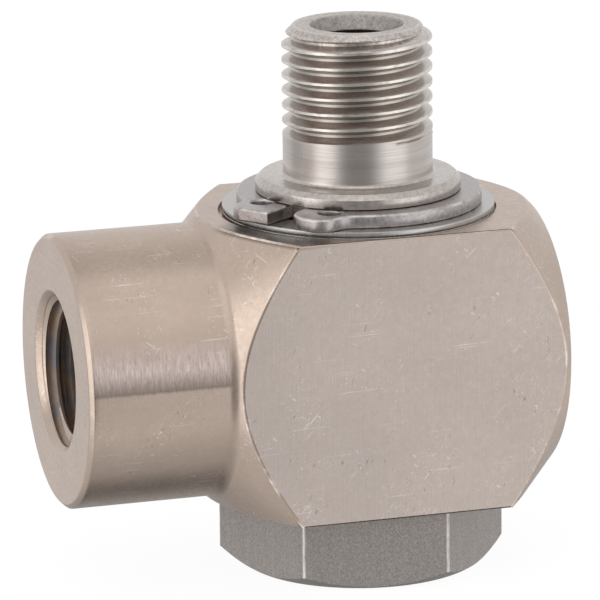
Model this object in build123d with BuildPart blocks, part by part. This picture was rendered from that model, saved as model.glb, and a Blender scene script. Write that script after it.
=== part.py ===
"""Ninety-degree hydraulic rotary union, in millimetres.

A turned spindle with a hexagon head and a G1/4 stud swivels in a housing of square bar with a
G1/4 side port. The origin is the centre of the hexagon's free face, +Z runs up the spindle to
the stud, and the port faces -X.
"""

import os
from math import cos, radians, sin, sqrt, tan

from build123d import *

# G1/4 parallel pipe thread, ISO 228-1
THREAD_MAJOR_D = 13.157
THREAD_PITCH = 1.337
THREAD_DEPTH = 0.640327 * THREAD_PITCH
THREAD_HALF_ANGLE = 27.5
THREAD_MINOR_D = THREAD_MAJOR_D - 2 * THREAD_DEPTH
THREAD_OVERCUT = 0.12

# running clearance between the two bodies, on a radius or between faces
RUN_GAP = 0.02
SEAL_NIP = 0.01

# housing of square bar, turned at both ends about the port axis
BAR_SIZE = 25.0
BOSS_D = 24.0
BOSS_REACH = 27.7
SHOULDER_REACH = 14.8
SHOULDER_FILLET = 0.6
END_REACH = 15.6
END_RIM_D = 24.0
BOSS_RIM_CHAMFER = 0.4
BORE_D = 18.0
BORE_CHAMFER = 0.3
RECESS_DEPTH = 0.5
RELIEF_SHIFT = 0.35
RELIEF_DIRECTION = -143.7

# side port
PORT_MOUTH_D = 14.2
PORT_THREAD_LENGTH = 10.5
PORT_DRILL_DEPTH = 13.0
PASSAGE_D = 6.0

# spindle
HEX_ACROSS_FLATS = 22.0
HEX_HEIGHT = 6.2
HEX_TURN = -10.6
HEX_FACE_D = 21.2
HEX_CHAMFER_ANGLE = 32.0
LAND_THICKNESS = 1.3
LAND_CHAMFER = 0.45
LAND_D = 18.0
SHANK_LENGTH = 13.25
SHANK_D = 13.1
SHANK_FILLET = 0.4
STUD_THREAD_LENGTH = 9.7
STUD_CHAMFER = 1.0
CONE_MOUTH_D = 8.2
CONE_ANGLE = 60.0
AXIAL_BORE_D = 5.8
DRILL_POINT_ANGLE = 118.0
CROSS_HOLE_D = 4.8
WAIST_D = 14.6
WAIST_WIDTH = 5.6 / 25 * BAR_SIZE

# seal and guide grooves, each as its width, its floor and its near edge's distance from mid-height;
# the widths and places share out the bar's height
BAR_SHARE = BAR_SIZE / 25
SEAL_GROOVE = {"near": 3.7 * BAR_SHARE, "width": 3.4 * BAR_SHARE, "floor_d": 14.7}
GUIDE_GROOVE = {"near": 7.9 * BAR_SHARE, "width": 2.1 * BAR_SHARE, "floor_d": 15.6}
DUST_GROOVE = {"near": 10.6 * BAR_SHARE, "width": 1.2 * BAR_SHARE, "floor_d": 15.8}
O_RING_WIDTH = 2.1 * BAR_SHARE
BACKUP_WIDTH = 1.2 * BAR_SHARE
SIDE_PLAY = 0.04

# retaining ring, DIN 471 18 x 1.2, with its groove
CLIP_THICKNESS = 1.2
CLIP_GROOVE_D = 17.0
CLIP_GROOVE_WIDTH = 1.3
CLIP_RADIAL_WIDTH = 2.4
CLIP_TAPER = 0.15
CLIP_LUG_WIDTH = 3.5
CLIP_HALF_GAP = 0.9
CLIP_HOLE_D = 2.0
CLIP_HOLE_RADIUS = 9.8
CLIP_HOLE_OFFSET = 3.65
CLIP_LUG_SPREAD = 5.3
CLIP_LUG_ROUND = 1.5
CLIP_NOSE_ROUND = 2.1
CLIP_NECK_ROUND = 1.0
CLIP_DIRECTION = -143.7

# washers
LOWER_WASHER_D = 21.6
LOWER_WASHER_THICKNESS = 0.5
UPPER_WASHER_THICKNESS = 0.5
WEAR_RING_WIDTH = 2.85
WEAR_RING_SIDE_GAP = 0.15
WASHER_BORE_GAP = 0.1
RECESS_D = BORE_D + 2 * (WASHER_BORE_GAP + WEAR_RING_WIDTH + WEAR_RING_SIDE_GAP)
UPPER_WASHER_D = RECESS_D - 2 * WEAR_RING_SIDE_GAP

# heights worked out from the stack
LOWER_WASHER_TOP = HEX_HEIGHT + LOWER_WASHER_THICKNESS
HOUSING_BOTTOM = LOWER_WASHER_TOP + RUN_GAP
HOUSING_TOP = HOUSING_BOTTOM + BAR_SIZE
MID_HEIGHT = HOUSING_BOTTOM + BAR_SIZE / 2
RECESS_FLOOR = HOUSING_TOP - RECESS_DEPTH
UPPER_WASHER_BOTTOM = HOUSING_TOP + RUN_GAP
CLIP_BOTTOM = UPPER_WASHER_BOTTOM + UPPER_WASHER_THICKNESS
CLIP_GROOVE_BOTTOM = CLIP_BOTTOM - (CLIP_GROOVE_WIDTH - CLIP_THICKNESS) / 2
LAND_BOTTOM = CLIP_GROOVE_BOTTOM + CLIP_GROOVE_WIDTH
LAND_TOP = LAND_BOTTOM + LAND_THICKNESS
STUD_TOP = LAND_TOP + SHANK_LENGTH
JOURNAL_D = BORE_D - 3 * RUN_GAP
SEAL_OUTER_D = BORE_D - 2 * SEAL_NIP


def flat_ring(bottom, thickness, inner_d, outer_d):
    """A ring of rectangular section standing on the height bottom."""
    with BuildPart() as ring:
        with BuildSketch(Plane.XY.offset(bottom)):
            Circle(outer_d / 2)
            Circle(inner_d / 2, mode=Mode.SUBTRACT)
        extrude(amount=thickness)
    return ring.part


def soft_ring(bottom, width, inner_d, outer_d):
    """A moulded ring whose section is rounded at its inner and outer sides."""
    depth = (outer_d - inner_d) / 2
    with BuildPart() as ring:
        with BuildSketch(Plane.XZ):
            with Locations((inner_d / 2 + depth / 2, bottom + width / 2)):
                RectangleRounded(depth, width, 0.45 * min(depth, width))
        revolve(axis=Axis.Z)
    return ring.part


def thread_groove(length, start, outward):
    """The helical V groove of the thread about the local Z axis, from the height start."""
    crest_r = (THREAD_MINOR_D if outward else THREAD_MAJOR_D) / 2
    way = 1 if outward else -1
    slope = tan(radians(THREAD_HALF_ANGLE))
    root_half = (THREAD_PITCH - 2 * THREAD_DEPTH * slope) / 4
    open_half = root_half + (THREAD_DEPTH + THREAD_OVERCUT) * slope
    mouth_r = crest_r - way * THREAD_OVERCUT
    root_r = crest_r + way * THREAD_DEPTH
    path = Helix(THREAD_PITCH, length, crest_r, center=(0, 0, start))
    with BuildPart() as groove:
        with BuildSketch(Plane.XZ):
            with BuildLine():
                Polyline(
                    (mouth_r, start - open_half),
                    (root_r, start - root_half),
                    (root_r, start + root_half),
                    (mouth_r, start + open_half),
                    close=True,
                )
            make_face()
        sweep(path=path, is_frenet=True)
    return groove.part


def cut_thread(blank, groove, frame):
    """The blank with the groove cut about the frame's Z axis.

    A cut whose ends fall on a seam of the blank can fail or come back with nothing removed, so
    the groove's start is turned until the cut takes material away.
    """
    for start_turn in range(90, 450, 40):
        try:
            cut = blank - frame.location * Rotation(0, 0, start_turn) * groove
        except ValueError:
            continue
        solids = cut.solids()
        if len(solids) == 1 and solids[0].is_valid and cut.volume < blank.volume - groove.volume / 4:
            return solids[0]
    raise RuntimeError("the thread groove removed nothing")


def groove_span(groove, side):
    """The lower and upper heights of a spindle groove above (+1) or below (-1) mid-height."""
    near = MID_HEIGHT + side * groove["near"]
    far = near + side * groove["width"]
    return min(near, far), max(near, far)


def build_housing():
    """Square bar turned to a boss and two conical shoulders, bored across for the spindle."""
    half = BAR_SIZE / 2
    corner = half * sqrt(2) + 1
    shoulder_rise = corner - BOSS_D / 2
    end_rise = corner - END_RIM_D / 2
    port_plane = Plane(origin=(0, 0, MID_HEIGHT), x_dir=(1, 0, 0), z_dir=(0, -1, 0))
    mouth_depth = (PORT_MOUTH_D - THREAD_MINOR_D) / 2
    with BuildPart() as housing:
        with BuildSketch(Plane.YZ.offset(-BOSS_REACH)):
            with Locations((0, MID_HEIGHT)):
                Rectangle(BAR_SIZE, BAR_SIZE)
        extrude(amount=BOSS_REACH + END_REACH)
        with BuildSketch(port_plane):
            with BuildLine():
                Polyline(
                    (-BOSS_REACH, 0),
                    (-BOSS_REACH, BOSS_D / 2 - BOSS_RIM_CHAMFER),
                    (-BOSS_REACH + BOSS_RIM_CHAMFER, BOSS_D / 2),
                    (-SHOULDER_REACH, BOSS_D / 2),
                    (-SHOULDER_REACH + shoulder_rise, corner),
                    (END_REACH - end_rise, corner),
                    (END_REACH, END_RIM_D / 2),
                    (END_REACH, 0),
                    close=True,
                )
            profile = make_face()
            knee = profile.vertices().sort_by_distance((-SHOULDER_REACH, BOSS_D / 2))
            fillet(knee[0], SHOULDER_FILLET)
        revolve(axis=Axis((0, 0, MID_HEIGHT), (1, 0, 0)), mode=Mode.INTERSECT)
        # cross bore with its entry chamfers
        with BuildSketch(Plane.XZ):
            with BuildLine():
                Polyline(
                    (0, HOUSING_BOTTOM),
                    (BORE_D / 2 + BORE_CHAMFER, HOUSING_BOTTOM),
                    (BORE_D / 2, HOUSING_BOTTOM + BORE_CHAMFER),
                    (BORE_D / 2, RECESS_FLOOR),
                    (RECESS_D / 2, RECESS_FLOOR),
                    (RECESS_D / 2, HOUSING_TOP),
                    (0, HOUSING_TOP),
                    close=True,
                )
            make_face()
        revolve(axis=Axis.Z, mode=Mode.SUBTRACT)
        # port drilling with its countersunk mouth and the passage to the cross bore
        with BuildSketch(port_plane):
            with BuildLine():
                Polyline(
                    (-BOSS_REACH, 0),
                    (-BOSS_REACH, PORT_MOUTH_D / 2),
                    (-BOSS_REACH + mouth_depth, THREAD_MINOR_D / 2),
                    (-BOSS_REACH + PORT_DRILL_DEPTH, THREAD_MINOR_D / 2),
                    (-BOSS_REACH + PORT_DRILL_DEPTH + mouth_depth, PASSAGE_D / 2),
                    (-BORE_D / 4, PASSAGE_D / 2),
                    (-BORE_D / 4, 0),
                    close=True,
                )
            make_face()
        revolve(axis=Axis((0, 0, MID_HEIGHT), (1, 0, 0)), mode=Mode.SUBTRACT)
        # the recess runs wide of the wear ring on the side that faces the retaining ring's gap
        turn = radians(RELIEF_DIRECTION)
        with BuildSketch(Plane.XY.offset(RECESS_FLOOR)):
            with Locations((RELIEF_SHIFT * cos(turn), RELIEF_SHIFT * sin(turn))):
                Circle(RECESS_D / 2)
        extrude(amount=RECESS_DEPTH, mode=Mode.SUBTRACT)
    port_frame = Plane(origin=(-BOSS_REACH, 0, MID_HEIGHT), x_dir=(0, 1, 0), z_dir=(1, 0, 0))
    groove = thread_groove(PORT_THREAD_LENGTH + THREAD_PITCH, -THREAD_PITCH, True)
    return cut_thread(housing.part, groove, port_frame)


def build_spindle():
    """Hexagon head, grooved journal, retaining land and threaded stud, drilled for the fluid."""
    hex_r = HEX_ACROSS_FLATS / sqrt(3)
    chamfer_rise = (hex_r + 1 - HEX_FACE_D / 2) * tan(radians(HEX_CHAMFER_ANGLE))
    bore_r = AXIAL_BORE_D / 2
    bore_end = MID_HEIGHT - CROSS_HOLE_D / 2
    point_depth = bore_r / tan(radians(DRILL_POINT_ANGLE / 2))
    cone_depth = (CONE_MOUTH_D - AXIAL_BORE_D) / 2 / tan(radians(CONE_ANGLE / 2))
    with BuildPart() as spindle:
        with BuildSketch():
            RegularPolygon(hex_r, 6, rotation=HEX_TURN)
        extrude(amount=HEX_HEIGHT)
        with BuildSketch(Plane.XZ):
            with BuildLine():
                Polyline(
                    (0, 0),
                    (HEX_FACE_D / 2, 0),
                    (hex_r + 1, chamfer_rise),
                    (hex_r + 1, HEX_HEIGHT),
                    (0, HEX_HEIGHT),
                    close=True,
                )
            make_face()
        revolve(axis=Axis.Z, mode=Mode.INTERSECT)
        # turned journal, land, shank and stud
        with BuildSketch(Plane.XZ):
            with BuildLine():
                Polyline(
                    (0, HEX_HEIGHT - RUN_GAP),
                    (JOURNAL_D / 2, HEX_HEIGHT - RUN_GAP),
                    (JOURNAL_D / 2, CLIP_GROOVE_BOTTOM),
                    (CLIP_GROOVE_D / 2, CLIP_GROOVE_BOTTOM),
                    (CLIP_GROOVE_D / 2, LAND_BOTTOM),
                    (LAND_D / 2, LAND_BOTTOM),
                    (LAND_D / 2, LAND_TOP - LAND_CHAMFER),
                    (LAND_D / 2 - LAND_CHAMFER, LAND_TOP),
                    (SHANK_D / 2, LAND_TOP),
                    (SHANK_D / 2, STUD_TOP - STUD_THREAD_LENGTH),
                    (THREAD_MAJOR_D / 2, STUD_TOP - STUD_THREAD_LENGTH),
                    (THREAD_MAJOR_D / 2, STUD_TOP - STUD_CHAMFER),
                    (THREAD_MAJOR_D / 2 - STUD_CHAMFER, STUD_TOP),
                    (0, STUD_TOP),
                    close=True,
                )
            outline = make_face()
            root = outline.vertices().sort_by_distance((SHANK_D / 2, LAND_TOP))
            fillet(root[0], SHANK_FILLET)
        revolve(axis=Axis.Z)
        # grooves above and below mid-height, and the waist that feeds the cross holes
        with BuildSketch(Plane.XZ):
            for side in (-1, 1):
                for groove in (SEAL_GROOVE, GUIDE_GROOVE, DUST_GROOVE):
                    low, high = groove_span(groove, side)
                    depth = (BORE_D - groove["floor_d"]) / 2
                    with Locations((groove["floor_d"] / 2 + depth / 2, (low + high) / 2)):
                        Rectangle(depth, high - low)
            depth = (BORE_D - WAIST_D) / 2
            with Locations((WAIST_D / 2 + depth / 2, MID_HEIGHT)):
                Rectangle(depth, WAIST_WIDTH)
        revolve(axis=Axis.Z, mode=Mode.SUBTRACT)
        # axial bore with its drill point and the cone seat at the stud's face
        with BuildSketch(Plane.XZ):
            with BuildLine():
                Polyline(
                    (0, bore_end - point_depth),
                    (bore_r, bore_end),
                    (bore_r, STUD_TOP - cone_depth),
                    (CONE_MOUTH_D / 2, STUD_TOP),
                    (0, STUD_TOP),
                    close=True,
                )
            make_face()
        revolve(axis=Axis.Z, mode=Mode.SUBTRACT)
        for direction in ((1, 0, 0), (0, 1, 0)):
            with BuildSketch(Plane(origin=(0, 0, MID_HEIGHT), z_dir=direction)):
                Circle(CROSS_HOLE_D / 2)
            extrude(amount=WAIST_D / 2 + 1, both=True, mode=Mode.SUBTRACT)
    start = STUD_TOP - STUD_THREAD_LENGTH + THREAD_PITCH / 2
    groove = thread_groove(STUD_THREAD_LENGTH + THREAD_PITCH / 2, start, False)
    return cut_thread(spindle.part, groove, Plane.XY)


def build_clip():
    """External retaining ring with two drilled lugs, one on each side of its gap."""
    inner_r = CLIP_GROOVE_D / 2
    outer_r = inner_r + CLIP_RADIAL_WIDTH - CLIP_TAPER
    lug_out = inner_r + CLIP_LUG_WIDTH
    angle = radians(CLIP_DIRECTION)
    face = Plane(origin=(0, 0, CLIP_BOTTOM), x_dir=(cos(angle), sin(angle), 0), z_dir=(0, 0, 1))
    along = sqrt(CLIP_HOLE_RADIUS**2 - CLIP_HOLE_OFFSET**2)
    neck = sqrt(outer_r**2 - CLIP_LUG_SPREAD**2) - CLIP_TAPER
    with BuildPart() as clip:
        with BuildSketch(face) as blank:
            with Locations((-CLIP_TAPER, 0)):
                Circle(outer_r)
            with Locations((lug_out / 2, 0)):
                Rectangle(lug_out, 2 * CLIP_LUG_SPREAD)
            for side in (-1, 1):
                corner = blank.vertices().sort_by_distance((lug_out, side * CLIP_LUG_SPREAD))[0]
                fillet(corner, CLIP_LUG_ROUND)
                root = blank.vertices().sort_by_distance((neck, side * CLIP_LUG_SPREAD))[0]
                fillet(root, CLIP_NECK_ROUND)
            Circle(inner_r, mode=Mode.SUBTRACT)
            with Locations((lug_out, 0)):
                Rectangle(lug_out, 2 * CLIP_HALF_GAP, mode=Mode.SUBTRACT)
            nose = blank.vertices().sort_by_distance((lug_out, CLIP_HALF_GAP))[0]
            fillet(nose, CLIP_NOSE_ROUND)
            with Locations((along, CLIP_HOLE_OFFSET), (along, -CLIP_HOLE_OFFSET)):
                Circle(CLIP_HOLE_D / 2, mode=Mode.SUBTRACT)
        extrude(amount=CLIP_THICKNESS)
    return clip.part


parts = {
    "housing": build_housing(),
    "spindle": build_spindle(),
    "retaining_ring": build_clip(),
    "lower_thrust_washer": flat_ring(
        HEX_HEIGHT, LOWER_WASHER_THICKNESS, JOURNAL_D + WASHER_BORE_GAP, LOWER_WASHER_D
    ),
    "upper_thrust_washer": flat_ring(
        UPPER_WASHER_BOTTOM, UPPER_WASHER_THICKNESS, JOURNAL_D + WASHER_BORE_GAP, UPPER_WASHER_D
    ),
    "wear_ring": flat_ring(
        RECESS_FLOOR, RECESS_DEPTH, BORE_D + 2 * WASHER_BORE_GAP, RECESS_D - 2 * WEAR_RING_SIDE_GAP
    ),
}

for level, side in (("lower", -1), ("upper", 1)):
    low, high = groove_span(SEAL_GROOVE, side)
    seal_low = high - O_RING_WIDTH - SIDE_PLAY if side < 0 else low + SIDE_PLAY
    backup_low = low + SIDE_PLAY if side < 0 else high - BACKUP_WIDTH - SIDE_PLAY
    seal_inner = SEAL_GROOVE["floor_d"]
    parts[f"{level}_o_ring"] = soft_ring(seal_low, O_RING_WIDTH, seal_inner, SEAL_OUTER_D)
    parts[f"{level}_backup_ring"] = flat_ring(backup_low, BACKUP_WIDTH, seal_inner, SEAL_OUTER_D)
    low, high = groove_span(GUIDE_GROOVE, side)
    parts[f"{level}_guide_ring"] = flat_ring(
        low + SIDE_PLAY, high - low - 2 * SIDE_PLAY, GUIDE_GROOVE["floor_d"], SEAL_OUTER_D
    )
    low, high = groove_span(DUST_GROOVE, side)
    parts[f"{level}_dust_seal"] = soft_ring(
        low + SIDE_PLAY, high - low - 2 * SIDE_PLAY, DUST_GROOVE["floor_d"], SEAL_OUTER_D
    )

os.makedirs("parts", exist_ok=True)
for label, built in parts.items():
    built.label = label
    export_step(built, f"parts/{label}.step")
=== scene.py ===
"""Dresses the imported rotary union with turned, drawn and stamped metal, and sets it on a studio floor."""

from math import atan2, cos, hypot, pi, radians, sin, sqrt, tan

import bmesh
import bpy
from mathutils import Matrix, Vector


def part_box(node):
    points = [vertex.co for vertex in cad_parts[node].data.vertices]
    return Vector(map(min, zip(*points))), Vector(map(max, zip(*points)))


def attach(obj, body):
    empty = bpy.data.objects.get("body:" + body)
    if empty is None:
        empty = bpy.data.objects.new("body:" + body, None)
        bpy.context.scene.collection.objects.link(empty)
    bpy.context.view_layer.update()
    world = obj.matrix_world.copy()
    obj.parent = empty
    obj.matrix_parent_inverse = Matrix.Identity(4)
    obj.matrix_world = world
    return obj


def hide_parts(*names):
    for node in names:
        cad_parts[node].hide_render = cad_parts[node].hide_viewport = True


bl_info = {
    "name": "Rotary Union",
    "version": (1, 0, 0),
    "blender": (4, 5, 0),
    "location": "View3D > Sidebar > Rotary Union",
    "description": "Builds the dressed rotary union piece by piece over its packed frame",
    "category": "Object",
}

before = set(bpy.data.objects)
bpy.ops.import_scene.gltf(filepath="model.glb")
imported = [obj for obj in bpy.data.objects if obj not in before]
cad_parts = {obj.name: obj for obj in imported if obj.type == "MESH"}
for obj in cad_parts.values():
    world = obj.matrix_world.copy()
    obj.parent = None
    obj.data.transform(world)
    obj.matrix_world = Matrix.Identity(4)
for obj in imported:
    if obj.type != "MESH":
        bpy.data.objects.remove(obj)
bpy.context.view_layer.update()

MM = 0.001
HOUSING_LOW, HOUSING_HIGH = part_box("housing")
SPINDLE_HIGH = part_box("spindle")[1]
CLIP_LOW, CLIP_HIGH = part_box("retaining_ring")
HEX_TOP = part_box("lower_thrust_washer")[0].z
HOUSING_NODES = ("housing", "wear_ring")
GROOVE_NODES = ("guide_ring", "o_ring", "backup_ring", "dust_seal")
MID_HEIGHT = (HOUSING_LOW.z + HOUSING_HIGH.z) / 2
HALF_BAR = (HOUSING_HIGH.z - HOUSING_LOW.z) / 2

# the room's even brightness, and patches as azimuth, elevation, half width in degrees and gain
ROOM_LEVEL = 1.12
ROOM_PATCHES = (
    (-16.8, 54, 36, 0.42),
    (-16.8, -12, 38, -0.68),
    (42, -8, 30, 0.66),
    (-70, -18, 24, 0.80),
    (-77, 14, 28, 1.30),
    (-126, -14, 20, -0.32),
    (-16.8, -90, 50, -0.38),
    (163, -50, 50, -0.55),
    (163, 71, 25, -0.66),
)

UP, DOWN = (0, 0, 1), (0, 0, -1)
# depth of a parallel pipe thread as a share of its pitch
THREAD_DEPTH_SHARE = 0.640327
# length of a drill's point as a share of the step in radius that it makes
DRILL_POINT = 0.6
# room left between an edge and the part beside it, and at each side of a groove
CLEARANCE = 0.05 * MM
GROOVE_GAP = 0.04 * MM
# how far a cutting tool reaches past the metal
OVERSHOOT = 1 * MM
# roundings left by turning, on plain edges and on small steps
EDGE_ROUND = 0.15 * MM
STEP_ROUND = 0.08 * MM
ROUND_STEPS = 192
THREAD_STEPS = 96
THREAD_POINTS = 12


# ---------------------------------------------------------------- sizes and colours


def length(name, description, default):
    """A length property in metres, given in millimetres."""
    return bpy.props.FloatProperty(
        name=name, description=description, default=default * MM, unit="LENGTH", precision=5
    )


def angle(name, description, default):
    """An angle property, given in degrees."""
    return bpy.props.FloatProperty(
        name=name, description=description, default=radians(default), unit="ROTATION"
    )


def colour(name, description, default):
    """A colour property with linear red, green and blue."""
    return bpy.props.FloatVectorProperty(
        name=name, description=description, default=default, size=3, min=0, max=1, subtype="COLOR"
    )


class UnionHousingSizes(bpy.types.PropertyGroup):
    """Sizes of the housing and its side port."""

    boss_d: length("Boss diameter", "Outside of the boss that carries the side port", 24.0)
    rim_chamfer: length("Rim chamfer", "Chamfer round the boss's open end", 0.4)
    shoulder_x: length("Shoulder reach", "From the spindle's axis to the foot of the boss", 14.8)
    shoulder_fillet: length("Shoulder fillet", "Hollow where the boss meets the cone", 0.6)
    end_rim_d: length("End rim diameter", "Rim of the closed end face", 24.0)
    edge_wear: length("Edge wear", "Width of the rubbed edge round each flat", 0.16)
    bore_d: length("Bore diameter", "Cross bore for the spindle", 18.0)
    bore_chamfer: length("Bore chamfer", "Chamfer at the bottom of the cross bore", 0.3)
    recess_d: length("Recess diameter", "Shallow recess round the top of the bore", 24.2)
    recess_depth: length("Recess depth", "Depth of the recess for the wear ring", 0.5)
    relief_shift: length("Relief shift", "How far the recess runs wide of the wear ring", 0.35)
    relief_turn: angle("Relief direction", "Side on which the recess runs wide", -143.7)
    mouth_d: length("Port mouth diameter", "Countersink of the side port", 14.2)
    port_thread: length("Port thread depth", "Length of the full thread in the port", 10.5)
    port_drill: length("Port drilling depth", "Depth of the tapping drill", 13.0)
    passage_d: length("Passage diameter", "Drilling from the port to the cross bore", 6.0)


class UnionSpindleSizes(bpy.types.PropertyGroup):
    """Sizes of the spindle, its stud and its hexagon head."""

    thread_d: length("Thread diameter", "Major diameter of the G1/4 thread", 13.157)
    pitch: length("Thread pitch", "Advance of the thread in one turn", 1.337)
    hex_flats: length("Hexagon across flats", "Spanner size of the head", 22.0)
    hex_turn: angle("Hexagon turn", "Turn of the hexagon's first corner from the port's far side", -10.6)
    hex_face_d: length("Hexagon face diameter", "Flat face inside the hexagon's chamfer", 21.2)
    hex_round: length("Hexagon corner rounding", "Rounding of the drawn bar's corners", 0.22)
    hex_chamfer: angle("Hexagon chamfer", "Slope of the turned chamfer on the hexagon", 32)
    land_chamfer: length("Land chamfer", "Chamfer on the land above the retaining ring", 0.45)
    land_d: length("Land diameter", "Land above the retaining ring", 18.0)
    land_thickness: length("Land thickness", "Height of the land above the retaining ring", 1.3)
    clip_groove_d: length("Ring groove diameter", "Floor of the retaining ring's groove", 17.0)
    shank_length: length("Shank length", "From the land to the stud's end face", 13.25)
    shank_d: length("Shank diameter", "Plain shank below the thread", 13.1)
    shank_fillet: length("Shank fillet", "Hollow at the root of the shank", 0.45)
    thread_length: length("Thread length", "Threaded end of the stud", 9.7)
    stud_chamfer: length("Stud chamfer", "Chamfer at the stud's end", 1.0)
    cone_mouth_d: length("Cone mouth diameter", "Mouth of the cone seat", 8.2)
    seat_bore_d: length("Seat bore diameter", "Drilling below the cone seat, down to the thread's foot", 6.85)
    cone_angle: angle("Cone angle", "Included angle of the cone seat", 60)
    bore_d: length("Axial bore diameter", "Fluid drilling along the spindle", 5.8)
    journal_gap: length("Journal gap", "Room between the journal and the cross bore", 0.03)
    cross_d: length("Cross hole diameter", "Drillings from the waist to the axial bore", 4.8)
    waist_d: length("Waist diameter", "Turned waist that feeds the cross holes", 14.6)
    waist_width: length("Waist width", "Width of the turned waist", 5.6)
    guide_floor_d: length("Guide groove floor", "Floor of the guide rings' grooves", 15.6)
    seal_floor_d: length("Seal groove floor", "Floor of the grooves for an o-ring and its backup ring", 14.7)
    dust_floor_d: length("Dust groove floor", "Floor of the dust seals' grooves", 15.8)


class UnionRingSizes(bpy.types.PropertyGroup):
    """Sizes of the retaining ring."""

    inner_d: length("Inner diameter", "Inside of the retaining ring", 17.0)
    radial: length("Radial width", "Width of the ring opposite its gap", 2.4)
    taper: length("Taper", "Offset that narrows the ring towards its gap", 0.15)
    lug_width: length("Lug width", "Width of a lug", 3.5)
    half_gap: length("Half gap", "Half the gap between the lugs", 0.9)
    spread: length("Lug spread", "From the middle of the gap to a lug's far side", 5.3)
    nose_round: length("Nose rounding", "Rounded nose of the lug on one side of the gap", 2.1)
    lug_round: length("Lug rounding", "Rounding of a lug's outer corner", 1.5)
    neck_round: length("Neck rounding", "Hollow between a lug and the ring", 2.2)
    hole_d: length("Hole diameter", "Plier hole in a lug", 2.0)
    hole_radius: length("Hole radius", "From the spindle's axis to a plier hole", 9.8)
    hole_offset: length("Hole offset", "From the middle of the gap to a plier hole", 3.65)
    edge: length("Edge rounding", "Rounding left by stamping", 0.2)
    turn: angle("Gap direction", "Direction of the ring's gap", -143.7)


class UnionFinish(bpy.types.PropertyGroup):
    """Colours of the finishes, as linear values."""

    nickel: colour("Nickel", "Satin nickel plate on the turned faces", (0.525, 0.420, 0.352))
    flat_nickel: colour("Nickel on the flats", "Satin nickel plate on the drawn flats", (0.535, 0.466, 0.428))
    worn_nickel: colour("Rubbed edge", "Bright rubbed edges of the housing", (0.97, 0.87, 0.80))
    chatter: colour("Chattered band", "Cooler tone where the tool chattered on the boss", (0.56, 0.46, 0.435))
    port: colour("Oiled port", "Dark oiled thread inside the side port", (0.31, 0.245, 0.205))
    temper_brown: colour("Brown temper tint", "Brown tint of the film in the port", (0.30, 0.19, 0.10))
    temper_blue: colour("Blue temper tint", "Blue tint of the film in the port", (0.10, 0.12, 0.17))
    # painted shade for the wall of the spindle's drilling, darker and lighter
    bore_shade_dark: colour("Dark bore", "Oiled wall of the spindle's drilling", (0.030, 0.024, 0.022))
    bore_shade_light: colour("Light bore", "Thinner film in the spindle's drilling", (0.075, 0.06, 0.055))
    turned_steel: colour("Turned steel", "Turned surfaces of the spindle", (0.52, 0.475, 0.445))
    # painted shade, brown, for the thread's roots
    root_shade: colour("Oil film", "Brown film in the roots of the thread", (0.40, 0.36, 0.32))
    # painted highlight for the thread's crests
    crest: colour("Thread crest", "Rubbed crest of the thread", (0.88, 0.84, 0.78))
    drawn_steel: colour("Drawn steel", "Bar surface of the hexagon", (0.36, 0.33, 0.315))
    spring_steel: colour("Spring steel", "Stamped retaining ring", (0.40, 0.375, 0.37))
    strip_steel: colour("Strip steel", "Rolled washers", (0.50, 0.485, 0.47))
    bearing: colour("Guide ring", "Bronze-filled bearing plastic", (0.16, 0.10, 0.05))
    seal: colour("Seal rubber", "Black nitrile rubber", (0.018, 0.018, 0.019))
    backup: colour("Backup ring", "White PTFE", (0.78, 0.78, 0.75))


class UnionStage(bpy.types.PropertyGroup):
    """Camera, lamps and floor."""

    azimuth: angle("Azimuth", "Direction of the camera round the object", -16.82)
    elevation: angle("Elevation", "Height of the camera above the horizon", 14.38)
    roll: angle("Roll", "Tilt of the camera about its view", 0.69)
    distance: length("Distance", "From the camera to the point it looks at", 458.6)
    target_x: length("Target X", "Point that the camera looks at", -5.40)
    target_y: length("Target Y", "Point that the camera looks at", 0.08)
    target_z: length("Target Z", "Point that the camera looks at", 23.69)
    lens: bpy.props.FloatProperty(
        name="Lens", description="Focal length in millimetres on a 36 mm sensor", default=313.6
    )
    floor_size: length("Floor size", "Side of the square floor", 1600)


# ---------------------------------------------------------------- node helpers


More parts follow.
